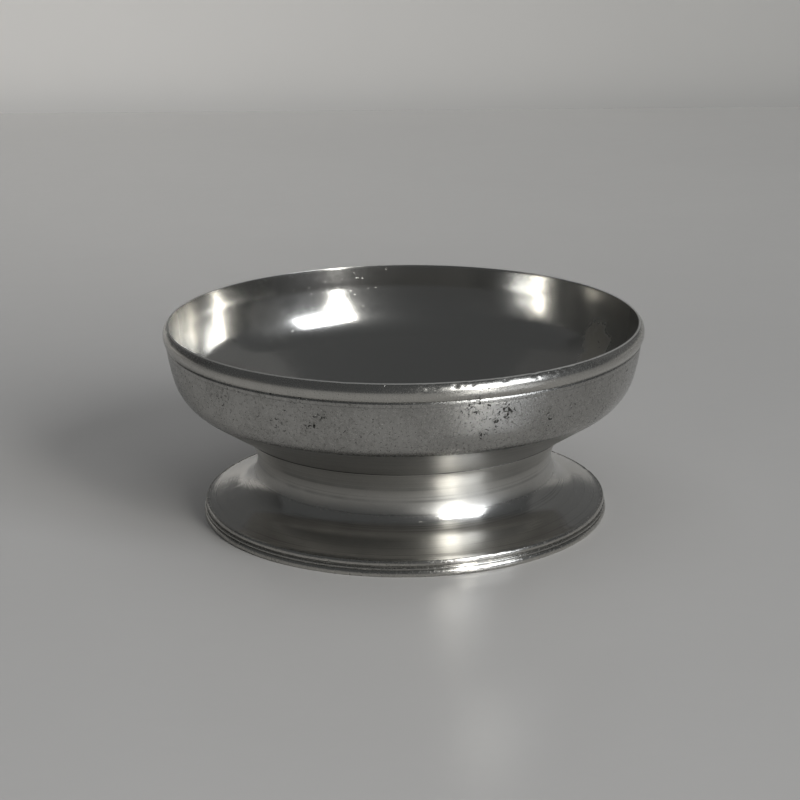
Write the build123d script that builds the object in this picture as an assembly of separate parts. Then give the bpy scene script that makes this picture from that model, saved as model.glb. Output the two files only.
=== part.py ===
"""Low footed bowl in cast and turned pewter: a bowl, a spreading foot and their solder joint.

Units are millimetres. +Z is up, and the origin is the centre of the ring that the foot
stands on. Every piece is turned, so each is one section revolved about Z. A section is drawn
with X as the radius and Y as the height.
"""

from build123d import *

import math
import os

# Overall sizes
RIM_RADIUS = 65.0  # to the crest of the bead round the rim
OVERALL_HEIGHT = 53.4
FOOT_RADIUS = 55.5  # to the lowest reed of the foot

# Bowl, followed downwards from the rim
BOWL_WALL = 1.4
BAND_SET_BACK = 0.75  # band under the bead stands this far inside the bead's crest
WALL_LEAN = 6.0  # degrees from upright at the top of the wall
WALL_SWEEP_RADIUS = 60.0  # long curve of the side
WALL_SWEEP = 9.0  # degrees
BELLY_RADIUS = 14.0  # tighter curve under that
UNDERSIDE_SLOPE = 33.0  # degrees from level
UNDERSIDE_LENGTH = 17.0  # straight cone under the belly, measured down its slope
FLOOR_ROUND = 20.0  # curve from the cone into the flat floor

# Bead and lines round the rim
BEAD_HEIGHT = 4.5
LIP_WIDTH = 0.3
QUIRK_WIDTH = 0.45  # sunk line under the bead
QUIRK_DEPTH = 0.3
SCRIBE_DROP = 1.3  # from the foot of the bead to the fine line
SCRIBE_WIDTH = 0.25
SCRIBE_DEPTH = 0.12

# Foot
FOOT_WALL = 1.8
JOINT_RADIUS = 44.7  # outer edge of the foot's top, where it meets the bowl
LAND_EDGE = 0.35  # thickness of that edge
COVE_LOW = 6.0  # lowest point of the circle that shapes the neck, above the table
FOOT_RING_WIDTH = 3.0  # flat ring that the foot stands on

# Reeded edge of the foot, from the table up
LOW_REED_HEIGHT = 1.6
MIDDLE_REED_HEIGHT = 0.7
TOP_REED_HEIGHT = 1.5
REED_GAP = 0.15  # height of the sunk line between two reeds
REED_ROUND = 0.3  # how far a reed's face swells
REED_SET_BACK = 0.25  # each reed stands back from the one below
TOP_REED_LAND = 0.6  # top of the upper reed, in to the skirt

# Solder joint between the bowl and the foot
SOLDER_FILM = 0.15
SOLDER_FILLET = 1.5

BEAD_FOOT = OVERALL_HEIGHT - BEAD_HEIGHT
BAND_RADIUS = RIM_RADIUS - BAND_SET_BACK


def slanted(degrees):
    """Unit vector at an angle counted from the outward direction."""
    return Vector(1, 0).rotate(Axis.Z, degrees)


def turned(section):
    """Solid of revolution of a section."""
    return revolve(Plane.XZ * section, axis=Axis.Z)


def bowl_surface(inset):
    """Side, belly, cone, corner and floor of the bowl, a distance inside its outer surface."""
    down = slanted(-90 - WALL_LEAN)
    side_start = Vector(BAND_RADIUS, BEAD_FOOT) - slanted(-WALL_LEAN) * inset
    belly_turn = 90 - WALL_LEAN - WALL_SWEEP - UNDERSIDE_SLOPE
    side = JernArc(side_start, down, WALL_SWEEP_RADIUS - inset, -WALL_SWEEP)
    belly = JernArc(side @ 1, side % 1, BELLY_RADIUS - inset, -belly_turn)
    cone = Line(belly @ 1, belly @ 1 + (belly % 1) * UNDERSIDE_LENGTH)
    corner = JernArc(cone @ 1, cone % 1, FLOOR_ROUND - inset, -UNDERSIDE_SLOPE)
    floor = Line(corner @ 1, (0, (corner @ 1).Y))
    return [side, belly, cone, corner, floor]


def height_at(surface, radius):
    """Height of a surface, followed inwards, where it passes a radius."""
    edge = next(e for e in surface if (e @ 1).X <= radius <= (e @ 0).X)
    outer, inner = 0.0, 1.0
    for _ in range(40):
        middle = (outer + inner) / 2
        if (edge @ middle).X > radius:
            outer = middle
        else:
            inner = middle
    return (edge @ inner).Y


def above_bowl(inset):
    """Everything above a surface of the bowl, as high as the rim."""
    surface = bowl_surface(inset)
    top = Polyline(surface[-1] @ 1, (0, OVERALL_HEIGHT), ((surface[0] @ 0).X, OVERALL_HEIGHT),
                   surface[0] @ 0)
    return make_face([*surface, *top.edges()])


def sunk_line(drop, width, depth):
    """Cutter for a V-shaped line turned into the wall, its top at a drop below the bead."""
    height = BEAD_FOOT - drop - width / 2
    radius = BAND_RADIUS - (BEAD_FOOT - height) * math.tan(math.radians(WALL_LEAN))
    flare = 1.5 * width
    mouth = radius + 2 * depth
    corners = [(radius - depth, height), (mouth, height - flare), (mouth, height + flare)]
    return make_face(Polyline(*corners, close=True))


def bowl_section():
    """Wall and floor of the bowl, with the bead and the sunk lines round its rim."""
    outside = bowl_surface(0)
    inside = bowl_surface(BOWL_WALL)
    inner_top = inside[0] @ 0
    rise = OVERALL_HEIGHT - inner_top.Y
    lip_inner = inner_top + Vector(rise * math.tan(math.radians(WALL_LEAN)), rise)
    lip_outer = lip_inner + Vector(LIP_WIDTH, 0)
    crest = Vector(RIM_RADIUS, BEAD_FOOT + BEAD_HEIGHT / 2)
    bead = ThreePointArc(lip_outer, crest, outside[0] @ 0)
    axis = Line(outside[-1] @ 1, inside[-1] @ 1)
    inner_wall = Line(inner_top, lip_inner)
    section = make_face([bead, *outside, axis, *inside, inner_wall, Line(lip_inner, lip_outer)])
    section -= sunk_line(0, QUIRK_WIDTH, QUIRK_DEPTH)
    section -= sunk_line(SCRIBE_DROP, SCRIBE_WIDTH, SCRIBE_DEPTH)
    return section


def cove_circle():
    """Centre and radius of the neck's curve, which leaves the joint along the bowl's cone."""
    edge_height = height_at(bowl_surface(-SOLDER_FILM - LAND_EDGE), JOINT_RADIUS)
    radius = (edge_height - COVE_LOW) / (1 + math.cos(math.radians(UNDERSIDE_SLOPE)))
    return Vector(JOINT_RADIUS, edge_height) + slanted(UNDERSIDE_SLOPE - 90) * radius, radius


def reeds():
    """Rounded reeds of the foot's edge, from the table upwards."""
    edges = []
    bottom = 0.0
    for count, height in enumerate((LOW_REED_HEIGHT, MIDDLE_REED_HEIGHT, TOP_REED_HEIGHT)):
        radius = FOOT_RADIUS - REED_ROUND - count * REED_SET_BACK
        if edges:
            edges.append(Line(edges[-1] @ 1, (radius, bottom - REED_GAP)))
            edges.append(Line(edges[-1] @ 1, (radius, bottom)))
        face = (radius + REED_ROUND, bottom + height / 2)
        edges.append(ThreePointArc((radius, bottom), face, (radius, bottom + height)))
        bottom += height + REED_GAP
    return edges


def skirt_angle(end, centre, radius):
    """Direction, in degrees, of the straight skirt that runs from the cove down to its end."""
    to_centre = centre - end
    upwards = math.degrees(math.atan2(to_centre.Y, to_centre.X))
    return upwards + math.degrees(math.asin(radius / to_centre.length)) - 180


def foot_blank():
    """Wall of the foot, run up past the underside of the bowl."""
    centre, radius = cove_circle()
    edge = reeds()
    land = edge[-1] @ 1 - Vector(TOP_REED_LAND, 0)
    down = skirt_angle(land, centre, radius)
    top = 90 + UNDERSIDE_SLOPE
    sweep = 180 - UNDERSIDE_SLOPE + down
    outer = CenterArc(centre, radius, top, sweep)
    inner = CenterArc(centre, radius + FOOT_WALL, top, sweep)
    ring_inner = FOOT_RADIUS - REED_ROUND - FOOT_RING_WIDTH
    fall = (ring_inner - (inner @ 1).X) * math.tan(math.radians(down))
    ring_top = Vector(ring_inner, (inner @ 1).Y + fall)
    under = Polyline(inner @ 1, ring_top, (ring_inner, 0), edge[0] @ 0)
    over = Polyline(edge[-1] @ 1, land, outer @ 1)
    cap = Line(outer @ 0, inner @ 0)
    return make_face([outer, inner, cap, *under.edges(), *edge, *over.edges()])


def foot_section():
    """Wall of the foot, from the land that carries the bowl to the reeded edge."""
    return foot_blank() - above_bowl(-SOLDER_FILM)


def solder_section(foot):
    """Film of solder under the bowl, with a fillet in the corner inside the foot."""
    centre, radius = cove_circle()
    corner = foot.vertices().filter_by(lambda v: v.Y > centre.Y).sort_by(Axis.X)[0]
    corner = Vector(corner.X, corner.Y)
    turn = math.degrees(SOLDER_FILLET / (radius + FOOT_WALL))
    on_foot = centre + (corner - centre).rotate(Axis.Z, turn)
    inward = corner.X - SOLDER_FILLET
    on_bowl = Vector(inward, height_at(bowl_surface(-SOLDER_FILM), inward))
    outward = slanted(90 + UNDERSIDE_SLOPE)
    into_bowl = outward * (SOLDER_FILM + BOWL_WALL / 2)
    joint = centre + outward * (radius + LAND_EDGE / 2)
    joint_top = joint + outward * LAND_EDGE + into_bowl
    outline = [joint, joint_top, on_bowl + into_bowl, on_bowl, on_foot]
    return make_face(Polyline(*outline, close=True)) - foot - above_bowl(0)


def main():
    foot = foot_section()
    pieces = {
        "bowl": turned(bowl_section()),
        "foot": turned(foot),
        "solder_seam": turned(solder_section(foot)),
    }
    os.makedirs("parts", exist_ok=True)
    for name, solid in pieces.items():
        export_step(solid, f"parts/{name}.step")


main()
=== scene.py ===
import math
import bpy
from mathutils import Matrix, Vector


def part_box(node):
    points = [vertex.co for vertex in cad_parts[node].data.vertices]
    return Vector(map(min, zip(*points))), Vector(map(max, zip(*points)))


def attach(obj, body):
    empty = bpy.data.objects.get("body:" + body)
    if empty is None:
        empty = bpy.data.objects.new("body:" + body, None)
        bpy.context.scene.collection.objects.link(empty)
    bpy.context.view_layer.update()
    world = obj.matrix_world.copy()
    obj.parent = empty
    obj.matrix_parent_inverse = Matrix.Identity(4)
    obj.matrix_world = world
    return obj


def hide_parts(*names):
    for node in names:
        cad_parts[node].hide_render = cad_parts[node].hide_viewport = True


bl_info = {
    "name": "Footed Pewter Bowl",
    "version": (1, 0, 0),
    "blender": (4, 5, 0),
    "location": "3D View > Sidebar > Pewter",
    "description": "Turns an old pewter bowl on its foot, with worn metal, floor, lights and camera",
    "category": "Add Mesh",
}

import bmesh
import bpy
from mathutils import Matrix, Vector, noise

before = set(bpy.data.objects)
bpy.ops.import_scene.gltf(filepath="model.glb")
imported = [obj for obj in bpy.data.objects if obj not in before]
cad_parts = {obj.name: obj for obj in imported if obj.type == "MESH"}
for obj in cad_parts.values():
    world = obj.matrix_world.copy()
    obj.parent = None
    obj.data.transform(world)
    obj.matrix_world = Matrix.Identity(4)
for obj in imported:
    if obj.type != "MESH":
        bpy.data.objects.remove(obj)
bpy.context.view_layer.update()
BOWL_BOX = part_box("bowl")
FOOT_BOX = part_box("foot")

MM = 0.001
ROUND_STEPS = 768  # segments in a full turn
MERGE = 2e-6  # points nearer than this are one
LINE_STEPS = 6  # points across a sunk line
COVE_STEPS = 46  # points along the hollow neck
SHARP_EDGE = math.radians(38)  # edges that fold more than this stay crisp
BOX_SPARE = 0.012 * MM  # how far the bead stays inside its box
LIP_ROUND = 0.12 * MM  # rounding of the lip's inner edge
BOWL_MIDDLE = Vector((0.0, 0.0, 0.03))
VEIL_ROUGHNESS = 0.36  # of the soft second sheen over the metal

# Where the bowl's finishes meet
WALL_BOTTOM = 33.0 * MM  # height where the pitted wall turns into the underside
NECK_REACH = 41.0 * MM  # radius inside which the foot hides the underside
MOUTH_REACH = 63.0 * MM  # radius inside which a face that looks up is the bowl's inside
LIP_EDGE = 0.25 * MM  # rubbed edge with a painted highlight, down from the top of the lip
BEAD_OVERLAP = 0.1 * MM  # the rim's finish goes this far below the bead

# How far the surface has moved, in slow waves and in quick ones
BOWL_WAVER = (0.08 * MM, 0.010 * MM)
FOOT_WAVER = (0.05 * MM, 0.008 * MM)

# Where the bowl's wear is found
STILL_REACH = 30.0 * MM  # the middle of the bowl keeps its true shape inside this radius
KNOCK_RADIUS = 64.6 * MM  # where the knocks' middles lie
KNOCK_BAND = 1.3 * MM  # knocks reach this far in from the bead's crest
CHIP_BAND = 2.3 * MM  # chips reach this far in from the bead's crest
CHIP_DROP = 1.4 * MM  # and this far down from the lip

# Where the foot's finishes and its wear meet
RING_TOP = 5.0 * MM  # below this height, a face that looks down is finished as the inside
LAND_SKIN = 0.6 * MM  # farther than this from the neck's curve is the inside of the foot
SKIRT_REACH = 53.0 * MM  # only inside this radius are skirt and inside told apart
RING_INSIDE = 4.0 * MM  # and below this height all but the skirt is inside
SKIRT_FOOT = 7.0 * MM  # below this height a face that looks up is skirt
REEDS_TOP = 4.3 * MM
REEDS_REACH = 53.8 * MM  # radius outside which the reeds lie
KNOCKED_TOP = 4.4 * MM  # the edge of the foot is knocked below this height
STEADY_BOTTOM = 16.0 * MM  # the neck doesn't waver above this height
TABLE_SKIN = 0.02 * MM  # points lower than this stand on the table and don't move

# Table and backdrop, in metres
TABLE_REACH = 1.9
TABLE_BACK = 0.717
BACKDROP_REACH = 2.5
BACKDROP_BACK = 0.74
BACKDROP_BOTTOM = -0.3
BACKDROP_TOP = 1.3
BACKDROP_PAINTED_SHADE_ABOVE = (0.09, 0.17)  # painted shade: the backdrop turns dark between these heights
# Colour of the painted shade high on the backdrop
PAINTED_SHADE_WALL = (0.15, 0.15, 0.15)

# Camera
CAMERA_DISTANCE = 0.5617
CAMERA_LIFT = math.radians(17.267)
CAMERA_AIM = 0.025  # height of the point that the distance is measured from
CAMERA_TURNS = (0.501, 0.114, 0.474)  # pitch, yaw and roll off that point, in degrees
CAMERA_LENS = 92.03
CAMERA_SENSOR = 36.0

# Where the lip is chipped, as an angle to the right of the front and a reach to each side
CHIPPED_AROUND = math.radians(23)
CHIPPED_REACH = math.radians(22)

# Knocks on the bead: degrees to the right of the front, then drop below the lip, size and
# depth in millimetres
KNOCKS = (
    (5.2, 1.3, 1.2, 0.09),
    (3.6, 2.3, 0.8, 0.10),
    (6.9, 0.7, 0.8, 0.10),
    (11.3, 0.6, 1.0, 0.18),
    (13.0, 1.0, 0.7, 0.12),
    (30.5, 1.0, 0.8, 0.12),
    (37.6, 0.5, 1.0, 0.12),
    (-15.5, 2.6, 0.7, 0.10),
    (-20.0, 3.0, 0.9, 0.10),
    (-148.0, 0.6, 1.0, 0.20),
)


# ---- Sizes and colours that a user may change ----

def length(name, value, description):
    """Property for a length in metres."""
    return bpy.props.FloatProperty(name=name, description=description, default=value,
                                   min=0.0, subtype="DISTANCE", unit="LENGTH", precision=5)


def angle(name, degrees, description):
    """Property for an angle, stored in radians."""
    return bpy.props.FloatProperty(name=name, description=description,
                                   default=math.radians(degrees), subtype="ANGLE",
                                   unit="ROTATION")


def factor(name, value, description):
    """Property for a plain share between none and all."""
    return bpy.props.FloatProperty(name=name, description=description, default=value,
                                   min=0.0, max=1.0, subtype="FACTOR")


def colour(name, value, description):
    """Property for a linear colour."""
    return bpy.props.FloatVectorProperty(name=name, description=description, default=value,
                                         size=3, min=0.0, max=1.0, subtype="COLOR")


class BowlSizes(bpy.types.PropertyGroup):
    """Sizes of the bowl, followed downwards from its rim."""

    rim_radius: length("Rim radius", BOWL_BOX[1][0] - BOX_SPARE, "Radius at the bead's crest")
    height: length("Rim height", BOWL_BOX[1][2], "Height of the lip above the table")
    wall: length("Wall", 1.4 * MM, "Thickness of the bowl")
    band_set_back: length("Band set-back", 0.75 * MM, "Band under the bead, in from its crest")
    lean: angle("Lean", 6.0, "Lean of the wall at its top, from upright")
    side_radius: length("Side radius", 60.0 * MM, "Radius of the long curve of the side")
    side_sweep: angle("Side sweep", 9.0, "Angle of the long curve of the side")
    belly_radius: length("Belly radius", 14.0 * MM, "Radius of the tight curve under the side")
    cone_slope: angle("Cone slope", 33.0, "Slope of the underside, from level")
    cone_length: length("Cone length", 17.0 * MM, "Length of the straight underside")
    floor_round: length("Floor round", 20.0 * MM, "Curve from the cone into the floor")
    bead_height: length("Bead height", 4.5 * MM, "Height of the bead round the rim")
    lip_width: length("Lip width", 0.3 * MM, "Flat top of the lip")
    quirk_width: length("Quirk width", 0.7 * MM, "Sunk line under the bead, worn soft")
    quirk_depth: length("Quirk depth", 0.24 * MM, "Depth of the sunk line")
    scribe_drop: length("Scribe drop", 1.3 * MM, "From the bead's foot to the fine line")
    scribe_width: length("Scribe width", 0.45 * MM, "Width of the fine line")
    scribe_depth: length("Scribe depth", 0.05 * MM, "Depth of the fine line")
    hollow_width: length("Hollow width", 3.6 * MM, "Shallow hollow round the inside of the wall")
    hollow_depth: length("Hollow depth", 0.03 * MM, "Depth of the hollow")


class FootSizes(bpy.types.PropertyGroup):
    """Sizes of the foot, from its land under the bowl to its reeded edge."""

    foot_radius: length("Foot radius", FOOT_BOX[1][0], "Radius of the lowest reed")
    wall: length("Wall", 1.8 * MM, "Thickness of the foot")
    cove_radius: length("Cove radius", 9.342 * MM, "Radius of the hollow neck's curve")
    cove_out: length("Cove centre out", 49.788 * MM, "Centre of that curve, out from the axis")
    cove_up: length("Cove centre up", 15.342 * MM, "Centre of that curve, above the table")
    land_edge: length("Land edge", 0.35 * MM, "Thickness of the top's outer edge")
    feather: length("Feather", 6.0 * MM, "Length over which the neck is burnished into the bowl")
    ring_width: length("Ring width", 3.0 * MM, "Flat ring that the foot stands on")
    low_reed: length("Low reed", 1.6 * MM, "Height of the lowest reed")
    middle_reed: length("Middle reed", 0.7 * MM, "Height of the middle reed")
    top_reed: length("Top reed", 1.5 * MM, "Height of the top reed")
    reed_gap: length("Reed gap", 0.15 * MM, "Height of the line between two reeds")
    reed_round: length("Reed round", 0.3 * MM, "How far a reed swells")
    reed_set_back: length("Reed set-back", 0.25 * MM, "Each reed behind the one below")
    reed_land: length("Reed land", 0.6 * MM, "Top of the upper reed, in to the skirt")


class PewterLook(bpy.types.PropertyGroup):
    """Colours of the metal and how hard it has been used."""

    bright: colour("Bright metal", (0.62, 0.61, 0.58), "Rubbed pewter, on edges and scratches")
    clean: colour("Clean metal", (0.51, 0.498, 0.468), "Smooth turned pewter")
    grey: colour("Grey metal", (0.41, 0.405, 0.388), "Pewter under its usual skin")
    dark: colour("Oxide", (0.15, 0.147, 0.135), "Dark oxide in lines and stains")
    pit: colour("Pit", (0.02, 0.019, 0.017), "Bottom of the pits")
    residue: colour("Residue", (0.30, 0.28, 0.235), "Dried residue inside the bowl")
    wear: factor("Wear", 1.0, "How far the lip is chipped and the bead is knocked")


class StageLook(bpy.types.PropertyGroup):
    """Floor, backdrop and lights; floor and backdrop carry painted light, lighter to the left."""

    # Painted light: the table top is lighter to the left and darker to the right
    floor_left_painted_light: colour("Floor, left", (0.68, 0.66, 0.635), "Painted table top to the left")
    floor_right_painted_shade: colour("Floor, right", (0.55, 0.535, 0.515), "Painted table top to the right")
    # Painted light: the backdrop is lighter to the left and darker to the right
    wall_left_painted_light: colour("Backdrop, left", (0.90, 0.87, 0.83), "Plain wall behind to the left")
    wall_right_painted_shade: colour("Backdrop, right", (0.46, 0.45, 0.43), "Plain wall behind to the right")
    room: bpy.props.FloatProperty(name="Room light", description="Brightness of the dim room",
                                  default=0.09, min=0.0)
    ceiling: bpy.props.FloatProperty(name="Ceiling light", default=1.9, min=0.0,
                                     description="Soft light on the floor, not on the metal")
    window: bpy.props.FloatProperty(name="Window light", description="Brightness of the window",
                                    default=33.0, min=0.0)


# ---- Turning: an outline drawn edge by edge, then spun about the axis ----

class Outline:
    """Section of a turned piece on the XZ plane, drawn from a start point by its heading."""

    def __init__(self, radius, height, heading):
        self.bm = bmesh.new()
        self.tip = self.bm.verts.new((radius, 0.0, height))
        self.heading = heading
        self.sunk = []

    def line_to(self, radius, height, steps=1):
        """Straight run to a point."""
        run = Vector((radius, 0.0, height)) - self.tip.co
        for _ in range(steps):
            made = bmesh.ops.extrude_vert_indiv(self.bm, verts=[self.tip])
            self.tip = made["verts"][0]
            bmesh.ops.translate(self.bm, verts=[self.tip], vec=run / steps)
        self.heading = math.atan2(run.z, run.x)

    def ahead(self, distance, steps=1):
        """Straight run along the heading."""
        self.line_to(self.tip.co.x + distance * math.cos(self.heading),
                     self.tip.co.z + distance * math.sin(self.heading), steps)

    def turn(self, radius, sweep, steps):
        """Arc that leaves along the heading; a positive sweep bends to the left."""
        side = math.copysign(math.pi / 2, sweep)
        centre = self.tip.co + radius * Vector((math.cos(self.heading + side), 0.0,
                                                math.sin(self.heading + side)))
        self.swing(centre, sweep, steps)
        self.heading += sweep

    def swing(self, centre, sweep, steps):
        """Arc about a centre."""
        made = bmesh.ops.spin(self.bm, geom=[self.tip], cent=centre, axis=(0.0, -1.0, 0.0),
                              angle=sweep, steps=steps)
        self.tip = next(v for v in made["geom_last"] if isinstance(v, bmesh.types.BMVert))

    def through(self, middle, end, steps):
        """Arc through a middle point to an end point, both as (radius, height)."""
        start = self.tip.co.copy()
        a, b = (Vector((p[0], 0.0, p[1])) - start for p in (middle, end))
        cross = 2.0 * (a.x * b.z - a.z * b.x)
        offset = Vector((b.z * a.length_squared - a.z * b.length_squared, 0.0,
                         a.x * b.length_squared - b.x * a.length_squared)) / cross
        spokes = [math.atan2(p.z, p.x) for p in (-offset, b - offset)]
        sweep = (spokes[1] - spokes[0]) % math.tau
        if cross < 0.0:
            sweep -= math.tau
        self.swing(start + offset, sweep, steps)

    def sink(self, depth):
        """Drop the point just drawn into the metal, without moving what follows."""
        self.sunk.append((self.tip, depth))

    def spin(self, steps, wedges=8):
        """Close the outline and turn it once about the axis; returns the bmesh.

        One wedge is spun and then doubled until it goes all the way round.
        """
        for point, depth in self.sunk:
            point.co.x -= depth
        bm = self.bm
        bmesh.ops.remove_doubles(bm, verts=bm.verts[:], dist=MERGE)
        span = math.tau / wedges
        bmesh.ops.spin(bm, geom=bm.verts[:] + bm.edges[:], cent=(0.0, 0.0, 0.0),
                       axis=(0.0, 0.0, 1.0), angle=span, steps=steps // wedges)
        while span < math.tau - 0.001:
            copy = bmesh.ops.duplicate(bm, geom=bm.verts[:] + bm.edges[:] + bm.faces[:])
            points = [v for v in copy["geom"] if isinstance(v, bmesh.types.BMVert)]
            bmesh.ops.rotate(bm, verts=points, cent=(0.0, 0.0, 0.0),
                             matrix=Matrix.Rotation(span, 3, "Z"))
            span *= 2.0
        bmesh.ops.remove_doubles(bm, verts=bm.verts[:], dist=MERGE)
        bmesh.ops.recalc_face_normals(bm, faces=bm.faces[:])
        return bm


def finish_mesh(bm, name, materials):
    """Shade, store and link a mesh as a piece that rides on the body."""
    for face in bm.faces:
        face.smooth = True
    for edge in bm.edges:
        edge.smooth = edge.calc_face_angle(0.0) < SHARP_EDGE
    mesh = bpy.data.meshes.new(name)
    bm.to_mesh(mesh)
    bm.free()
    for material in materials:
        mesh.materials.append(material)
    piece = bpy.data.objects.new(name, mesh)
    bpy.context.scene.collection.objects.link(piece)
    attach(piece, "root")
    return piece


# ---- Nodes ----

def put(tree, kind, inputs=None, **settings):
    """Add a node; inputs maps a socket's name or number to a value or to another socket."""
    made = tree.nodes.new(kind)
    for name, value in settings.items():
        setattr(made, name, value)
    for name, value in (inputs or {}).items():
        if isinstance(value, bpy.types.NodeSocket):
            tree.links.new(value, made.inputs[name])
        else:
            made.inputs[name].default_value = value
    return made


def math_node(tree, operation, a, b):
    """Math node's result."""
    return put(tree, "ShaderNodeMath", {0: a, 1: b}, operation=operation).outputs[0]


def scaled(tree, value, share):
    """A value times a share."""
    return math_node(tree, "MULTIPLY", value, share)


def summed(tree, *values):
    """Sum of several values."""
    total = values[0]
    for value in values[1:]:
        total = math_node(tree, "ADD", total, value)
    return total


def ramp_value(tree, value, low, high, to_low=0.0, to_high=1.0):
    """Smooth step of a value from one range to another."""
    made = put(tree, "ShaderNodeMapRange",
               {"Value": value, "From Min": low, "From Max": high,
                "To Min": to_low, "To Max": to_high}, interpolation_type="SMOOTHSTEP")
    return made.outputs["Result"]


def mix_colour(tree, share, a, b):
    """Mix of two colours."""
    made = put(tree, "ShaderNodeMix", data_type="RGBA", clamp_factor=True)
    for number, value in ((0, share), (6, a), (7, b)):
        if isinstance(value, bpy.types.NodeSocket):
            tree.links.new(value, made.inputs[number])
        elif number == 0:
            made.inputs[0].default_value = value
        else:
            made.inputs[number].default_value = (*value, 1.0)
    return made.outputs[2]


def noise_value(tree, place, scale, detail=3.0, roughness=0.55, distortion=0.0):
    """Noise texture's value."""
    made = put(tree, "ShaderNodeTexNoise",
               {"Vector": place, "Scale": scale, "Detail": detail, "Roughness": roughness,
                "Distortion": distortion})
    return made.outputs[0]


def new_group(name, inputs, outputs):
    """Empty shader node group; returns its tree, its input values and its output node."""
    tree = bpy.data.node_groups.new(name, "ShaderNodeTree")
    for label, kind, value in inputs:
        made = tree.interface.new_socket(label, in_out="INPUT", socket_type=kind)
        if value is not None:
            made.default_value = value
    for label, kind in outputs:
        tree.interface.new_socket(label, in_out="OUTPUT", socket_type=kind)
    return tree, tree.nodes.new("NodeGroupInput").outputs, tree.nodes.new("NodeGroupOutput")


def send(tree, result, **values):
    """Link values to the outputs of a node group."""
    for name, value in values.items():
        tree.links.new(value, result.inputs[name])


def place_group(tree, group, **inputs):
    """Place a node group in a material with its own values; returns its outputs."""
    made = put(tree, "ShaderNodeGroup", node_tree=group)
    for name, value in inputs.items():
        socket = made.inputs[name.replace("_", " ").capitalize()]
        if isinstance(value, bpy.types.NodeSocket):
            tree.links.new(value, socket)
        else:
            socket.default_value = value
    return made.outputs


def around_axis_group():
    """Place on a turned surface: its height, and its place on the section that was turned."""
    tree, given, result = new_group(
        "Place on turned metal", [("Position", "NodeSocketVector", None)],
        [("Height", "NodeSocketFloat"), ("Section", "NodeSocketVector")])
    split = put(tree, "ShaderNodeSeparateXYZ", {0: given["Position"]}).outputs
    flat = put(tree, "ShaderNodeCombineXYZ", {0: split[0], 1: split[1]}).outputs[0]
    radius = put(tree, "ShaderNodeVectorMath", {0: flat}, operation="LENGTH").outputs["Value"]
    section = put(tree, "ShaderNodeCombineXYZ", {0: radius, 1: split[2]}).outputs[0]
    send(tree, result, Height=split[2], Section=section)
    return tree


def turned_lines_group():
    """Fine lines left by the lathe, the same all the way round but for slow fading."""
    tree, given, result = new_group(
        "Turned lines",
        [("Section", "NodeSocketVector", None), ("Position", "NodeSocketVector", None),
         ("Fineness", "NodeSocketFloat", 4000.0)],
        [("Height", "NodeSocketFloat"), ("Mask", "NodeSocketFloat")])
    fine = noise_value(tree, given["Section"], given["Fineness"], 3.0, 0.7)
    broad = noise_value(tree, given["Section"], scaled(tree, given["Fineness"], 0.25), 1.0, 0.5)
    fade = ramp_value(tree, noise_value(tree, given["Position"], 70.0, 2.0), 0.35, 0.65, 0.3, 1.0)
    lines = summed(tree, scaled(tree, fine, 0.55), scaled(tree, broad, 0.45))
    send(tree, result, Height=scaled(tree, lines, fade),
         Mask=scaled(tree, ramp_value(tree, lines, 0.50, 0.64), fade))
    return tree


def speckle_group():
    """Fine speckle of old pewter: bright grains, dark grains, and slow mottling between them."""
    tree, given, result = new_group(
        "Speckle",
        [("Position", "NodeSocketVector", None), ("Fineness", "NodeSocketFloat", 2400.0)],
        [("Grain", "NodeSocketFloat"), ("Bright", "NodeSocketFloat"),
         ("Dark", "NodeSocketFloat"), ("Mottle", "NodeSocketFloat")])
    grain = noise_value(tree, given["Position"], given["Fineness"], 3.0, 0.75)
    other = noise_value(tree, given["Position"], scaled(tree, given["Fineness"], 0.62), 2.0, 0.6,
                        0.3)
    small = noise_value(tree, given["Position"], 520.0, 3.0, 0.6)
    broad = noise_value(tree, given["Position"], 75.0, 3.0, 0.55)
    mottle = summed(tree, scaled(tree, small, 0.45), scaled(tree, broad, 0.55))
    send(tree, result, Grain=grain, Bright=ramp_value(tree, grain, 0.53, 0.70),
         Dark=ramp_value(tree, other, 0.47, 0.32), Mottle=ramp_value(tree, mottle, 0.40, 0.60))
    return tree


def pits_group():
    """Corrosion pits, small and ragged, with a few large ones, thicker where they cluster."""
    tree, given, result = new_group(
        "Corrosion pits",
        [("Position", "NodeSocketVector", None), ("Density", "NodeSocketFloat", 0.3),
         ("Fineness", "NodeSocketFloat", 1250.0)],
        [("Mask", "NodeSocketFloat"), ("Height", "NodeSocketFloat")])
    cluster = ramp_value(tree, noise_value(tree, given["Position"], 150.0, 3.0, 0.65),
                         0.44, 0.66, -0.25, 0.55)
    density = summed(tree, given["Density"], scaled(tree, cluster, given["Density"]))
    found = None
    for share, start, reach in ((1.0, 0.80, 0.20), (0.42, 0.84, 0.20)):
        scale = scaled(tree, given["Fineness"], share)
        ragged = noise_value(tree, given["Position"], scale, 1.5, 0.55, 0.9)
        edge = math_node(tree, "SUBTRACT", start, scaled(tree, density, reach))
        over = math_node(tree, "SUBTRACT", ragged, edge)
        layer = ramp_value(tree, over, 0.0, 0.045)
        found = layer if found is None else math_node(tree, "MAXIMUM", found, layer)
    send(tree, result, Mask=found, Height=scaled(tree, found, -1.0))
    return tree


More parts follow.
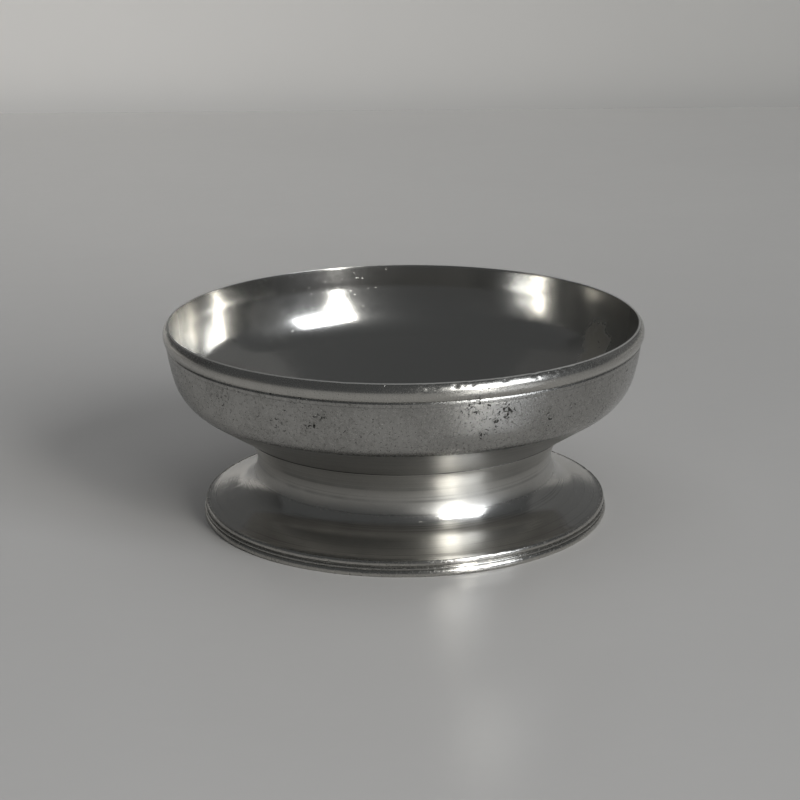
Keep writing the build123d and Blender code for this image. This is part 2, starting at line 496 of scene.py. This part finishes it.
def scratches_group():
    """Short straight scratches, each a thin needle of space that the surface cuts."""
    tree, given, result = new_group(
        "Scratches",
        [("Position", "NodeSocketVector", None), ("Amount", "NodeSocketFloat", 0.3)],
        [("Mask", "NodeSocketFloat")])
    total = None
    for turn in ((0.3, 0.0, 0.5), (0.2, 0.9, 1.7), (1.3, 0.4, 2.6), (0.1, 1.4, 0.2)):
        place = put(tree, "ShaderNodeMapping", {"Vector": given["Position"], "Rotation": turn,
                                                "Scale": (85.0, 1900.0, 1900.0)}).outputs[0]
        needles = put(tree, "ShaderNodeTexVoronoi", {"Vector": place, "Scale": 1.0},
                      feature="F1").outputs
        chance = put(tree, "ShaderNodeSeparateColor", {0: needles["Color"]}).outputs[0]
        thin = ramp_value(tree, needles["Distance"], 0.07, 0.15, 1.0, 0.0)
        kept = math_node(tree, "LESS_THAN", chance, given["Amount"])
        part = scaled(tree, thin, kept)
        total = part if total is None else math_node(tree, "MAXIMUM", total, part)
    send(tree, result, Mask=total)
    return tree


def patch_group():
    """Soft patch about a point, with a ragged edge."""
    tree, given, result = new_group(
        "Patch",
        [("Position", "NodeSocketVector", None), ("Centre", "NodeSocketVector", None),
         ("Radius", "NodeSocketFloat", 0.01)],
        [("Mask", "NodeSocketFloat")])
    away = put(tree, "ShaderNodeVectorMath", {0: given["Position"], 1: given["Centre"]},
               operation="DISTANCE").outputs["Value"]
    ragged = noise_value(tree, given["Position"], 220.0, 4.0, 0.65)
    share = summed(tree, math_node(tree, "DIVIDE", away, given["Radius"]),
                   scaled(tree, math_node(tree, "SUBTRACT", ragged, 0.5), 1.1))
    send(tree, result, Mask=ramp_value(tree, share, 0.45, 1.0, 1.0, 0.0))
    return tree


EFFECTS = {}


def build_effects():
    """Make every shared node group once."""
    EFFECTS.update(place=around_axis_group(), lines=turned_lines_group(),
                   speckle=speckle_group(), pits=pits_group(), scratches=scratches_group(),
                   patch=patch_group())


def pewter(name, look, tone="grey", rough=0.3, haze=0.15, cloud=0.06, speckle=0.4,
           speckle_fineness=2400.0, grain=0.3, lines=0.3, line_fineness=4000.0, pits=0.0,
           pit_fineness=1250.0, scratches=0.1, marks=0.5, shade=1.0, anisotropic=0.0,
           brushed=None, veil=0.0, metallic=1.0, patches=()):
    """Pewter finish with its own share of speckle, lathe lines, pits, scratches and patches.

    Roughness starts at rough; haze is added grain by grain, and cloud slowly over the surface.
    Brushed is (low, high, roughness): more roughness that comes in between two heights.
    Veil is a soft second sheen over the metal, which puts a halo round bright reflections.
    """
    material = bpy.data.materials.new(name)
    material.use_nodes = True
    tree = material.node_tree
    tree.nodes.clear()
    position = put(tree, "ShaderNodeTexCoord").outputs["Object"]
    place = place_group(tree, EFFECTS["place"], position=position)
    skin = place_group(tree, EFFECTS["speckle"], position=position, fineness=speckle_fineness)
    turned = place_group(tree, EFFECTS["lines"], section=place["Section"], position=position,
                         fineness=line_fineness)
    scratch = place_group(tree, EFFECTS["scratches"], position=position, amount=scratches)["Mask"]
    bright, base, dark, pit = (tuple(c * shade for c in colours) for colours in
                               (look.bright, getattr(look, tone), look.dark, look.pit))
    tint = mix_colour(tree, scaled(tree, skin["Mottle"], speckle * 0.35), base, dark)
    tint = mix_colour(tree, scaled(tree, skin["Bright"], speckle * 0.55), tint, bright)
    tint = mix_colour(tree, scaled(tree, skin["Dark"], speckle * 0.75), tint, dark)
    tint = mix_colour(tree, scaled(tree, turned["Mask"], lines * 0.35), tint, dark)
    rough = summed(tree, rough, scaled(tree, skin["Mottle"], cloud),
                   scaled(tree, skin["Dark"], haze), scaled(tree, skin["Bright"], haze * 0.5))
    if brushed:
        low, high, added = brushed
        rough = summed(tree, rough, scaled(
            tree, ramp_value(tree, place["Height"], low, high), added))
    height = summed(tree, scaled(tree, turned["Height"], lines),
                    scaled(tree, skin["Grain"], grain), scaled(tree, scratch, marks * -1.2))
    tint = mix_colour(tree, scaled(tree, scratch, marks), tint, bright)
    density = pits
    for centre, radius, strength, kind in patches:
        mask = scaled(tree, place_group(tree, EFFECTS["patch"], position=position,
                                        centre=centre, radius=radius)["Mask"], strength)
        if kind == "pits":
            density = summed(tree, mask, density)
        elif kind == "stain":
            tint = mix_colour(tree, mask, tint, dark)
            rough = summed(tree, rough, scaled(tree, mask, 0.2))
        elif kind == "bloom":
            tint = mix_colour(tree, mask, tint, look.residue)
            rough = summed(tree, rough, scaled(tree, mask, 0.45))
            metallic = math_node(tree, "SUBTRACT", metallic, scaled(tree, mask, 0.75))
        elif kind == "chatter":
            height = summed(tree, height, scaled(
                tree, scaled(tree, mask, 6.0), turned["Height"]))
    if pits or any(patch[3] == "pits" for patch in patches):
        holes = place_group(tree, EFFECTS["pits"], position=position, density=density,
                            fineness=pit_fineness)
        tint = mix_colour(tree, scaled(tree, holes["Mask"], 0.9), tint, pit)
        rough = summed(tree, rough, scaled(tree, holes["Mask"], 0.25))
        height = summed(tree, height, scaled(tree, holes["Height"], 2.5))
    bump = put(tree, "ShaderNodeBump", {"Height": height, "Strength": 0.6, "Distance": 0.00005})
    surface = put(tree, "ShaderNodeBsdfPrincipled",
                  {"Base Color": tint, "Roughness": rough, "Metallic": metallic,
                   "Anisotropic": anisotropic, "Anisotropic Rotation": 0.25,
                   "Coat Weight": veil, "Coat Roughness": VEIL_ROUGHNESS,
                   "Normal": bump.outputs[0]})
    if anisotropic:
        tangent = put(tree, "ShaderNodeTangent", direction_type="RADIAL", axis="Z")
        tree.links.new(tangent.outputs[0], surface.inputs["Tangent"])
    output = put(tree, "ShaderNodeOutputMaterial", {"Surface": surface.outputs[0]})
    output.is_active_output = True
    return material


def lathe_turned(name, look, **own):
    """Smooth pewter with strong lathe lines, and a few values of its own."""
    return pewter(name, look, tone="clean", haze=0.05, speckle=0.12, speckle_fineness=5000.0,
                  grain=0.05, lines=1.6, line_fineness=1700.0, anisotropic=0.6, **own)


def unpolished(name, look):
    """Rough pewter where the lathe left it and no hand has rubbed it."""
    return pewter(name, look, rough=0.42, haze=0.2, speckle=0.8, grain=0.5, lines=0.5,
                  line_fineness=1500.0, pits=0.12, shade=0.8)


# ---- Bowl ----

def bowl_surface(path, sizes, inset, rows, lines):
    """Draw the bowl from the foot of its bead to the axis, an inset inside its outside.

    Each line is (distance below the bead's foot, width, depth), cut into the side.
    """
    radius = sizes.side_radius - inset
    drawn = 0.0
    for drop, width, depth in lines:
        if drop > drawn:
            path.turn(radius, (drawn - drop) / radius, 3)
        for count in range(1, LINE_STEPS + 1):
            path.turn(radius, -width / LINE_STEPS / radius, 1)
            path.sink(depth * math.sin(math.pi * count / LINE_STEPS) ** 2)
        drawn = drop + width
    path.turn(radius, drawn / radius - sizes.side_sweep, rows[0])
    belly = math.pi / 2 - sizes.lean - sizes.side_sweep - sizes.cone_slope
    path.turn(sizes.belly_radius - inset, -belly, rows[1])
    path.ahead(sizes.cone_length, rows[2])
    path.turn(sizes.floor_round - inset, -sizes.cone_slope, rows[3])
    path.line_to(0.0, path.tip.co.z, 2)


def draw_bowl(sizes):
    """Outline of the bowl: lip, bead, sunk lines, outside, floor and inside."""
    band = sizes.rim_radius - sizes.band_set_back
    bead_foot = sizes.height - sizes.bead_height
    inner_top = Vector((band - sizes.wall * math.cos(sizes.lean), 0.0,
                        bead_foot + sizes.wall * math.sin(sizes.lean)))
    rise = sizes.height - inner_top.z
    lip_inner = inner_top.x + rise * math.tan(sizes.lean)
    path = Outline(lip_inner, sizes.height - LIP_ROUND, math.pi / 2)
    start = path.tip
    path.through((lip_inner + 0.04 * MM, sizes.height - 0.03 * MM),
                 (lip_inner + LIP_ROUND, sizes.height), 3)
    path.line_to(lip_inner + sizes.lip_width, sizes.height - 0.01 * MM, 1)
    path.through((sizes.rim_radius, bead_foot + sizes.bead_height / 2), (band, bead_foot), 18)
    path.heading = -math.pi / 2 - sizes.lean
    bowl_surface(path, sizes, 0.0, (14, 20, 6, 4),
                 ((0.0, sizes.quirk_width, sizes.quirk_depth),
                  (sizes.scribe_drop, sizes.scribe_width, sizes.scribe_depth)))
    outside = path.tip
    path.tip = start
    path.line_to(inner_top.x, inner_top.z, 6)
    path.heading = -math.pi / 2 - sizes.lean
    bowl_surface(path, sizes, sizes.wall, (5, 12, 5, 5),
                 ((0.0, sizes.hollow_width, -sizes.hollow_depth),))
    path.tip = outside
    return path


def waver(place, reach, finest):
    """How far old soft metal has moved at a place: slow, with a little quick unevenness."""
    slow = noise.noise(place * 38.0) * 0.5 + 0.5
    quick = noise.noise(place * 160.0 + Vector((7.1, 3.3, 1.7))) * 0.5 + 0.5
    return reach * slow, finest * quick


def chip_depth(place, around):
    """Depth of the chips in the lip, most where the bowl is knocked most."""
    away = abs((around - CHIPPED_AROUND + math.pi) % math.tau - math.pi)
    near = max(0.0, 1.0 - away / CHIPPED_REACH)
    ragged = noise.noise(place * 520.0) + 0.7 * noise.noise(place * 1150.0)
    seldom = noise.noise(place * 230.0)
    return max(0.0, ragged - 0.14) * near ** 0.5 * 0.42 * MM + max(0.0, seldom - 0.32) * 0.3 * MM


def knock_depth(place, height):
    """Depth of the single knocks on the bead."""
    depth = 0.0
    for around, drop, size, deep in KNOCKS:
        turn = math.radians(around)
        centre = Vector((math.sin(turn) * KNOCK_RADIUS, -math.cos(turn) * KNOCK_RADIUS,
                         height - drop * MM))
        share = (place - centre).length / (size * MM) + 0.5 * noise.noise(place * 900.0)
        if share < 1.0:
            depth += deep * MM * (1.0 - max(share, 0.0) ** 2) ** 2
    return depth


def wear_bowl(bm, sizes, wear):
    """Wavering walls, chips in the lip and knocks on the bead, never outside the true shape."""
    bm.normal_update()
    lip = sizes.height - CHIP_DROP
    for vertex in bm.verts:
        place = vertex.co.copy()
        outward = Vector((place.x, place.y, 0.0))
        radius = outward.length
        if radius < STILL_REACH:
            continue
        outward /= radius
        slow, quick = waver(place, *BOWL_WAVER)
        sunk = quick
        if radius > sizes.rim_radius - KNOCK_BAND and place.z > sizes.height - sizes.bead_height:
            sunk += wear * knock_depth(place, sizes.height)
        if place.z > lip and radius > sizes.rim_radius - CHIP_BAND:
            chip = wear * chip_depth(place, math.atan2(place.x, -place.y))
            vertex.co.z -= chip * (place.z - lip) / (sizes.height - lip)
            if vertex.normal.dot(outward) > 0.2:
                sunk += 0.5 * chip
        vertex.co -= outward * slow + vertex.normal * sunk


def bowl_zone(face, sizes):
    """Which finish a face takes: 0 wall, 1 rim, 2 inside, 3 underside, 4 hidden, 5 lip's edge."""
    middle = face.calc_center_median()
    radius = math.hypot(middle.x, middle.y)
    out = face.normal.x * middle.x + face.normal.y * middle.y
    if face.normal.z > 0.55 and middle.z > sizes.height - LIP_EDGE:
        return 5
    if middle.z > sizes.height - sizes.bead_height - BEAD_OVERLAP and out > 0.0:
        return 1
    if out < 0.0 or (face.normal.z > 0.5 and radius < MOUTH_REACH):
        return 2 if middle.z < sizes.height - 0.2 * MM else 1
    if middle.z > WALL_BOTTOM:
        return 0
    return 3 if radius > NECK_REACH else 4


def spot(around, radius, height):
    """Place on the metal, at an angle in degrees to the right of the front, in millimetres."""
    turn = math.radians(around)
    return (math.sin(turn) * radius * MM, -math.cos(turn) * radius * MM, height * MM)


def bowl_finishes(look):
    """The bowl's finishes, in the order that bowl_zone counts them."""
    wall = pewter("pewter_pitted_wall", look, rough=0.19, haze=0.18, cloud=0.06, speckle=0.72,
                  speckle_fineness=2500.0, grain=0.80, lines=0.12, pits=0.32, scratches=0.05,
                  marks=0.35,
                  patches=((spot(-27, 63.7, 44.5), 12 * MM, 0.40, "pits"),
                           (spot(-12, 63.2, 42.0), 12 * MM, 0.22, "pits"),
                           (spot(-46, 63.5, 45.0), 10 * MM, 0.22, "pits"),
                           (spot(18, 63.6, 44.0), 9 * MM, 0.45, "pits"),
                           (spot(24, 63.8, 45.5), 5 * MM, 0.35, "pits"),
                           (spot(38, 62.5, 40.0), 8 * MM, 0.20, "pits"),
                           (spot(140, 63.6, 44.0), 14 * MM, 0.35, "pits"),
                           (spot(-120, 63.4, 43.0), 12 * MM, 0.30, "pits")))
    rim = pewter("pewter_worn_rim", look, tone="clean", rough=0.19, haze=0.14, cloud=0.06,
                 speckle=0.25, speckle_fineness=6000.0, veil=0.15, grain=0.20, lines=0.25,
                 pits=0.16, pit_fineness=1900.0, scratches=0.10, marks=0.6, anisotropic=0.25,
                 patches=((spot(20, 64.5, 52.0), 12 * MM, 0.42, "pits"),
                          (spot(34, 64.5, 51.5), 8 * MM, 0.30, "pits"),
                          (spot(-150, 64.5, 52.0), 12 * MM, 0.30, "pits")))
    inside = pewter("pewter_smooth_inside", look, tone="clean", rough=0.13, haze=0.04,
                    cloud=0.03, speckle=0.05, speckle_fineness=6000.0, grain=0.02, lines=0.06,
                    scratches=0.10, marks=0.35, anisotropic=0.25, veil=1.0,
                    patches=((spot(115, 60.5, 38.5), 8 * MM, 0.85, "bloom"),
                             (spot(116, 59.4, 36.2), 5 * MM, 0.62, "pits"),
                             (spot(112, 60.8, 39.8), 3 * MM, 0.60, "pits"),
                             (spot(-139, 60.5, 42.0), 9 * MM, 0.08, "bloom"),
                             (spot(-60, 50.0, 27.0), 12 * MM, 0.10, "stain")))
    # The underside's low shade darkens its colour: painted shade under the belly
    underside = lathe_turned("pewter_turned_underside", look, rough=0.34, cloud=0.04, veil=0.4,
                             shade=0.62, pits=0.04, scratches=0.05)
    hidden = unpolished("pewter_unpolished", look)
    # Lip's edge: rubbed bright metal and a painted highlight, partly unmetallic so that it stays
    # bright
    edge = pewter("pewter_rubbed_edge", look, tone="bright", rough=0.40, haze=0.10, speckle=0.35,
                  grain=0.30, lines=0.1, pits=0.30, pit_fineness=1900.0, metallic=0.75)
    return [wall, rim, inside, underside, hidden, edge]


class PEWTER_OT_bowl(bpy.types.Operator):
    """Turn the bowl, knock its lip and give it its finishes"""

    bl_idname = "pewter.bowl"
    bl_label = "Bowl"

    def execute(self, context):
        sizes = context.scene.pewter_bowl
        look = context.scene.pewter_look
        bm = draw_bowl(sizes).spin(ROUND_STEPS)
        for face in bm.faces:
            face.material_index = bowl_zone(face, sizes)
        wear_bowl(bm, sizes, look.wear)
        piece = finish_mesh(bm, "pewter_bowl", bowl_finishes(look))
        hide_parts("bowl")
        return {"FINISHED"}


# ---- Foot ----

def draw_foot(sizes, slope):
    """Outline of the foot: reeded edge, skirt, hollow neck, land, and the inside."""
    ring = sizes.foot_radius - sizes.reed_round - sizes.ring_width
    path = Outline(ring, 0.0, 0.0)
    start = path.tip
    bottom = 0.0
    reeds = (sizes.low_reed, sizes.middle_reed, sizes.top_reed)
    for count, height in enumerate(reeds):
        radius = sizes.foot_radius - sizes.reed_round - count * sizes.reed_set_back
        path.line_to(radius, bottom, 2 if count == 0 else 1)
        swell = (radius + sizes.reed_round, bottom + height / 2)
        path.through(swell, (radius, bottom + height), (9, 5, 8)[count])
        bottom += height + sizes.reed_gap
        if count < 2:
            path.line_to(radius - sizes.reed_set_back, bottom - sizes.reed_gap, 1)
    centre = Vector((sizes.cove_out, 0.0, sizes.cove_up))
    land = Vector((path.tip.co.x - sizes.reed_land, 0.0, path.tip.co.z))
    to_centre = centre - land
    lift = math.atan2(to_centre.z, to_centre.x) + math.asin(sizes.cove_radius / to_centre.length)
    touch = centre + sizes.cove_radius * Vector((math.cos(lift + math.pi / 2), 0.0,
                                                 math.sin(lift + math.pi / 2)))
    path.line_to(land.x, land.z, 1)
    path.line_to(touch.x, touch.z, 6)
    sweep = slope - lift
    for count in range(1, COVE_STEPS + 1):
        left = (1.0 - count / COVE_STEPS) * abs(sweep) * sizes.cove_radius
        near = max(0.0, 1.0 - left / sizes.feather)
        away = sizes.cove_radius + sizes.land_edge * near * near * (3.0 - 2.0 * near)
        turned = lift + math.pi / 2 + sweep * count / COVE_STEPS
        path.line_to(centre.x + away * math.cos(turned), centre.z + away * math.sin(turned))
    reach = sizes.cove_radius + sizes.wall
    span = math.sqrt(reach ** 2 - (sizes.cove_radius + sizes.land_edge) ** 2)
    path.line_to(path.tip.co.x - span * math.cos(slope), path.tip.co.z - span * math.sin(slope), 4)
    inner = math.atan2(path.tip.co.z - centre.z, path.tip.co.x - centre.x) % math.tau
    path.swing(centre, (lift + math.pi / 2) % math.tau - inner, 14)
    fall = math.tan(lift)
    path.line_to(ring, path.tip.co.z + (ring - path.tip.co.x) * fall, 4)
    path.line_to(start.co.x, start.co.z, 2)
    return path


def wear_foot(bm):
    """A wavering surface, and small knocks along the edge of the foot."""
    bm.normal_update()
    for vertex in bm.verts:
        place = vertex.co.copy()
        if place.z < TABLE_SKIN:
            continue
        outward = Vector((place.x, place.y, 0.0)).normalized()
        slow, quick = waver(place, *FOOT_WAVER)
        if place.z < KNOCKED_TOP:
            quick += max(0.0, noise.noise(place * 300.0) - 0.30) * 0.25 * MM
        if place.z > STEADY_BOTTOM:
            slow = 0.0
        vertex.co -= outward * slow + vertex.normal * quick


def foot_zone(face, sizes):
    """Which finish a face takes: 0 turned outside, 1 reeds, 2 hidden inside."""
    middle = face.calc_center_median()
    radius = math.hypot(middle.x, middle.y)
    beyond = math.hypot(radius - sizes.cove_out, middle.z - sizes.cove_up)
    if face.normal.z < -0.5 and middle.z < RING_TOP:
        return 2
    if beyond > sizes.cove_radius + LAND_SKIN and radius < SKIRT_REACH:
        inside = middle.z < RING_INSIDE or radius < sizes.cove_out
        outside_skirt = face.normal.z > 0.5 and middle.z < SKIRT_FOOT
        return 0 if outside_skirt or not inside else 2
    return 1 if middle.z < REEDS_TOP and radius > REEDS_REACH else 0


def foot_finishes(look):
    """The foot's finishes, in the order that foot_zone counts them."""
    turned = lathe_turned("pewter_turned_foot", look, rough=0.12, cloud=0.05, veil=0.9, pits=0.05,
                          scratches=0.06, marks=0.4, brushed=(10.0 * MM, 13.0 * MM, 0.24),
                          patches=((spot(-75, 44.0, 9.5), 15 * MM, 0.45, "chatter"),
                                   (spot(-100, 50.0, 6.5), 16 * MM, 0.30, "chatter")))
    reeds = pewter("pewter_reeds", look, tone="clean", rough=0.16, haze=0.16, speckle=0.35,
                   grain=0.15, lines=0.4, pits=0.12, pit_fineness=1700.0, scratches=0.1,
                   anisotropic=0.3, patches=((spot(16, 54.5, 3.4), 10 * MM, 0.45, "pits"),))
    return [turned, reeds, unpolished("pewter_foot_inside", look)]


class PEWTER_OT_foot(bpy.types.Operator):
    """Turn the foot with its hollow neck and reeded edge, and give it its finishes"""

    bl_idname = "pewter.foot"
    bl_label = "Foot"

    def execute(self, context):
        sizes = context.scene.pewter_foot
        look = context.scene.pewter_look
        bm = draw_foot(sizes, context.scene.pewter_bowl.cone_slope).spin(ROUND_STEPS)
        for face in bm.faces:
            face.material_index = foot_zone(face, sizes)
        wear_foot(bm)
        piece = finish_mesh(bm, "pewter_foot", foot_finishes(look))
        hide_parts("foot")
        return {"FINISHED"}


class PEWTER_OT_solder(bpy.types.Operator):
    """Give the solder between bowl and foot its dull finish"""

    bl_idname = "pewter.solder"
    bl_label = "Solder"

    def execute(self, context):
        look = context.scene.pewter_look
        dull = pewter("dull_solder", look, rough=0.45, haze=0.2, speckle=0.7, grain=0.5,
                      lines=0.1, shade=0.4)
        seam = bpy.data.objects["solder_seam"]
        for slot in seam.material_slots:
            slot.material = dull
        return {"FINISHED"}


# ---- Stage ----

def painted_light_material(name, left, right, rough, bump=0.0, ior=1.45, painted_shade_above=None):
    """Painted surface with painted light, one tone to the left and another to the right; may turn
    dark high up as painted shade.
    """
    material = bpy.data.materials.new(name)
    material.use_nodes = True
    tree = material.node_tree
    tree.nodes.clear()
    position = put(tree, "ShaderNodeTexCoord").outputs["Object"]
    cloud = noise_value(tree, position, 6.0, 3.0)
    split = put(tree, "ShaderNodeSeparateXYZ", {0: position}).outputs
    # Painted light: the tone changes from left to right
    tint = mix_colour(tree, ramp_value(tree, split[0], -0.45, 0.45), left, right)
    tint = mix_colour(tree, scaled(tree, cloud, 0.08), tint, (0.0, 0.0, 0.0))
    # Painted shade: the backdrop turns dark high up
    if painted_shade_above:
        tint = mix_colour(tree, ramp_value(tree, split[2], *painted_shade_above), tint, PAINTED_SHADE_WALL)
    surface = put(tree, "ShaderNodeBsdfPrincipled",
                  {"Base Color": tint, "Roughness": rough, "IOR": ior})
    if bump:
        waves = put(tree, "ShaderNodeBump",
                    {"Height": noise_value(tree, position, 90.0, 3.0), "Strength": bump,
                     "Distance": 0.001})
        tree.links.new(waves.outputs[0], surface.inputs["Normal"])
    put(tree, "ShaderNodeOutputMaterial", {"Surface": surface.outputs[0]})
    return material


def plane(name, corners, material):
    """Flat four-cornered stage piece."""
    bm = bmesh.new()
    bm.faces.new([bm.verts.new(corner) for corner in corners])
    mesh = bpy.data.meshes.new(name)
    bm.to_mesh(mesh)
    bm.free()
    mesh.materials.append(material)
    made = bpy.data.objects.new(name, mesh)
    bpy.context.scene.collection.objects.link(made)


def area_light(name, place, width, height, brightness, tone, shape="RECTANGLE"):
    """Flat light that faces the bowl; its brightness is power for each square metre."""
    data = bpy.data.lights.new(name, "AREA")
    data.shape = shape
    data.size = width
    data.size_y = height
    data.energy = brightness * width * height
    data.color = tone
    light = bpy.data.objects.new(name, data)
    bpy.context.scene.collection.objects.link(light)
    light.location = place
    facing = BOWL_MIDDLE - light.location
    light.rotation_euler = facing.to_track_quat("-Z", "Y").to_euler()
    return light


def window_light(name, sides, heights, distance, brightness, tone, shape="RECTANGLE"):
    """Soft light as the bowl sees it, between two side angles and two heights in degrees."""
    turn, lift = (math.radians(sum(pair) / 2) for pair in (sides, heights))
    spread, rise = (math.radians(pair[1] - pair[0]) for pair in (sides, heights))
    place = BOWL_MIDDLE + distance * Vector((
        math.sin(turn) * math.cos(lift), -math.cos(turn) * math.cos(lift), math.sin(lift)))
    return area_light(name, place, 2.0 * distance * math.cos(lift) * math.tan(spread / 2),
                      2.0 * distance * math.tan(rise / 2), brightness, tone, shape)


def make_camera():
    """Camera in front of the bowl, a little above its rim, turned slightly off its middle."""
    pitch, yaw, roll = (math.radians(turn) for turn in CAMERA_TURNS)
    data = bpy.data.cameras.new("camera")
    data.lens = CAMERA_LENS
    data.sensor_width = CAMERA_SENSOR
    camera = bpy.data.objects.new("camera", data)
    bpy.context.scene.collection.objects.link(camera)
    level, rise = math.cos(CAMERA_LIFT), math.sin(CAMERA_LIFT)
    forward = Vector((0.0, level, -rise))
    up = Vector((0.0, rise, level))
    right = Vector((1.0, 0.0, 0.0))
    tilt = Matrix.Rotation(pitch, 3, right)
    forward, up = tilt @ forward, tilt @ up
    swing = Matrix.Rotation(yaw, 3, up)
    forward, right = swing @ forward, swing @ right
    lean = Matrix.Rotation(roll, 3, forward)
    right, up = lean @ right, lean @ up
    turn = Matrix((right, up, -forward)).transposed().to_4x4()
    place = Vector((0.0, -CAMERA_DISTANCE * level, CAMERA_AIM + CAMERA_DISTANCE * rise))
    camera.matrix_world = Matrix.Translation(place) @ turn
    bpy.context.scene.camera = camera


class PEWTER_OT_stage(bpy.types.Operator):
    """Lay the table and backdrop, set the window light and place the camera"""

    bl_idname = "pewter.stage"
    bl_label = "Stage"

    def execute(self, context):
        look = context.scene.pewter_stage
        # Table with painted light across it, lighter to the left
        table = painted_light_material("painted_table", look.floor_left_painted_light, look.floor_right_painted_shade, 0.25, 0.05,
                               ior=1.7)
        # Backdrop with painted light across it and painted shade high up
        wall = painted_light_material("plain_backdrop", look.wall_left_painted_light, look.wall_right_painted_shade, 0.9,
                              painted_shade_above=BACKDROP_PAINTED_SHADE_ABOVE)
        plane("table", ((-TABLE_REACH, -TABLE_REACH, 0.0), (TABLE_REACH, -TABLE_REACH, 0.0),
                        (TABLE_REACH, TABLE_BACK, 0.0), (-TABLE_REACH, TABLE_BACK, 0.0)), table)
        plane("backdrop", ((-BACKDROP_REACH, BACKDROP_BACK, BACKDROP_BOTTOM),
                           (BACKDROP_REACH, BACKDROP_BACK, BACKDROP_BOTTOM),
                           (BACKDROP_REACH, BACKDROP_BACK, BACKDROP_TOP),
                           (-BACKDROP_REACH, BACKDROP_BACK, BACKDROP_TOP)), wall)
        window_light("window_wide", (42.0, 64.0), (14.0, 43.0), 3.0, look.window * 0.55,
                     (0.94, 0.98, 1.04))
        window_light("window_tall", (29.0, 42.0), (5.0, 40.0), 3.0, look.window * 1.1,
                     (0.98, 0.98, 0.96), "ELLIPSE")
        window_light("far_lamp", (-75.0, -70.0), (2.0, 4.0), 1.6, look.window * 0.05,
                     (1.0, 0.84, 0.62))
        ceiling = area_light("soft_ceiling", (0.0, 0.0, 2.0), 2.5, 2.5, look.ceiling,
                             (0.97, 0.99, 1.02))
        ceiling.visible_glossy = False
        world = bpy.data.worlds.new("dim_room")
        world.use_nodes = True
        background = world.node_tree.nodes["Background"]
        background.inputs[0].default_value = (0.93, 0.97, 1.0, 1.0)
        background.inputs[1].default_value = look.room
        context.scene.world = world
        context.scene.view_settings.view_transform = "Standard"
        make_camera()
        return {"FINISHED"}


class PEWTER_PT_panel(bpy.types.Panel):
    """Buttons and settings of the pewter bowl"""

    bl_label = "Footed Pewter Bowl"
    bl_idname = "PEWTER_PT_panel"
    bl_space_type = "VIEW_3D"
    bl_region_type = "UI"
    bl_category = "Pewter"

    def draw(self, context):
        for operator in (PEWTER_OT_bowl, PEWTER_OT_foot, PEWTER_OT_solder, PEWTER_OT_stage):
            self.layout.operator(operator.bl_idname)
        for name in ("pewter_bowl", "pewter_foot", "pewter_look", "pewter_stage"):
            group = getattr(context.scene, name)
            box = self.layout.box()
            for key in group.__annotations__:
                box.prop(group, key)


CLASSES = (BowlSizes, FootSizes, PewterLook, StageLook, PEWTER_OT_bowl, PEWTER_OT_foot,
           PEWTER_OT_solder, PEWTER_OT_stage, PEWTER_PT_panel)


def register():
    """Register the classes and give the scene their settings."""
    for item in CLASSES:
        bpy.utils.register_class(item)
    scene = bpy.types.Scene
    scene.pewter_bowl = bpy.props.PointerProperty(type=BowlSizes)
    scene.pewter_foot = bpy.props.PointerProperty(type=FootSizes)
    scene.pewter_look = bpy.props.PointerProperty(type=PewterLook)
    scene.pewter_stage = bpy.props.PointerProperty(type=StageLook)


def unregister():
    """Take the settings and the classes away again."""
    for name in ("pewter_bowl", "pewter_foot", "pewter_look", "pewter_stage"):
        delattr(bpy.types.Scene, name)
    for item in reversed(CLASSES):
        bpy.utils.unregister_class(item)


def main():
    """Build every piece and the stage."""
    register()
    build_effects()
    bpy.ops.pewter.bowl()
    bpy.ops.pewter.foot()
    bpy.ops.pewter.solder()
    bpy.ops.pewter.stage()


if __name__ == "__main__":
    main()
